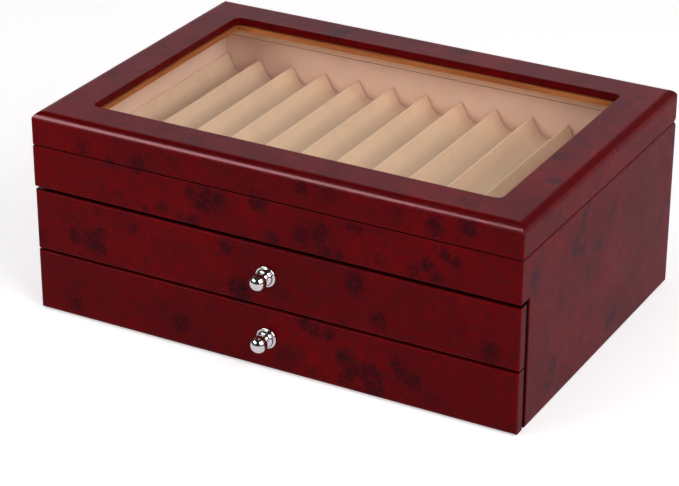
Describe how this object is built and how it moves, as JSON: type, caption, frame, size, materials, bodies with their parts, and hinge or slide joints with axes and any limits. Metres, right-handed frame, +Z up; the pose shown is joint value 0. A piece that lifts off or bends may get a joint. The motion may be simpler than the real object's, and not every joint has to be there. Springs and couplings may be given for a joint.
{
  "type": "pen collector chest",
  "caption": "Burl-lacquered wooden pen chest: glazed hinged lid over a grooved, lined tray, and two full-width pen drawers with round chrome knobs below.",
  "frame": {"origin": "centre of the case's footprint, on the surface that the chest stands on", "axes": "+X to the right along the front, +Y from the drawer fronts to the back, +Z up"},
  "size_m": [0.333, 0.246, 0.1353],
  "materials": {
    "burl_lacquer": "dark red burl veneer look under satin-gloss lacquer",
    "natural_wood": "plain sanded wood",
    "stained_board": "dark red stain, matt",
    "beige_suede": "short-nap suede cloth",
    "base_felt": "dark felt",
    "clear_glass": "clear, polished",
    "knob_chrome": "mirror polished",
    "hinge_metal": "satin brass plate",
    "screw_steel": "bright zinc"
  },
  "bodies": {
    "case": {"side_panel_left": "burl_lacquer", "side_panel_right": "burl_lacquer", "back_panel": "burl_lacquer", "upper_front_panel": "burl_lacquer", "compartment_floor": "stained_board", "drawer_divider": "stained_board", "bottom_panel": "stained_board", "base_felt": "base_felt", "top_pen_tray": "beige_suede", "hinge_screws_case": "hinge_metal", "case_lining_front": "beige_suede", "case_lining_back": "beige_suede", "case_lining_left": "beige_suede", "case_lining_right": "beige_suede", "hinge_leaf_case_left": "hinge_metal", "hinge_leaf_case_right": "hinge_metal", "hinge_pin_left": "hinge_metal", "hinge_pin_right": "hinge_metal"},
    "lid": {"lid_rail_front": "burl_lacquer", "lid_rail_back": "burl_lacquer", "lid_rail_left": "burl_lacquer", "lid_rail_right": "burl_lacquer", "glass_bead_front": "natural_wood", "glass_bead_back": "natural_wood", "glass_bead_left": "natural_wood", "glass_bead_right": "natural_wood", "lid_lining_front": "beige_suede", "lid_lining_back": "beige_suede", "lid_lining_left": "beige_suede", "lid_lining_right": "beige_suede", "lid_glass": "clear_glass", "hinge_screws_lid": "hinge_metal", "hinge_leaf_lid_left": "hinge_metal", "hinge_leaf_lid_right": "hinge_metal"},
    "drawer_upper": {"drawer_upper_front": "burl_lacquer", "drawer_upper_side_left": "stained_board", "drawer_upper_side_right": "stained_board", "drawer_upper_back": "stained_board", "drawer_upper_bottom": "stained_board", "drawer_upper_lining": "beige_suede", "drawer_upper_pen_tray": "beige_suede", "drawer_upper_knob": "knob_chrome", "drawer_upper_knob_screw": "screw_steel"},
    "drawer_lower": {"drawer_lower_front": "burl_lacquer", "drawer_lower_side_left": "stained_board", "drawer_lower_side_right": "stained_board", "drawer_lower_back": "stained_board", "drawer_lower_bottom": "stained_board", "drawer_lower_lining": "beige_suede", "drawer_lower_pen_tray": "beige_suede", "drawer_lower_knob": "knob_chrome", "drawer_lower_knob_screw": "screw_steel"}
  },
  "joints": [
    {"name": "lid_hinge", "type": "hinge", "parent": "case", "child": "lid", "pos_m": [0, 0.115, 0.1137], "axis": [-1, 0, 0], "range_deg": [0, 95]},
    {"name": "drawer_upper_slide", "type": "slide", "parent": "case", "child": "drawer_upper", "axis": [0, -1, 0], "range_m": [0, 0.15]},
    {"name": "drawer_lower_slide", "type": "slide", "parent": "case", "child": "drawer_lower", "axis": [0, -1, 0], "range_m": [0, 0.15]}
  ]
}
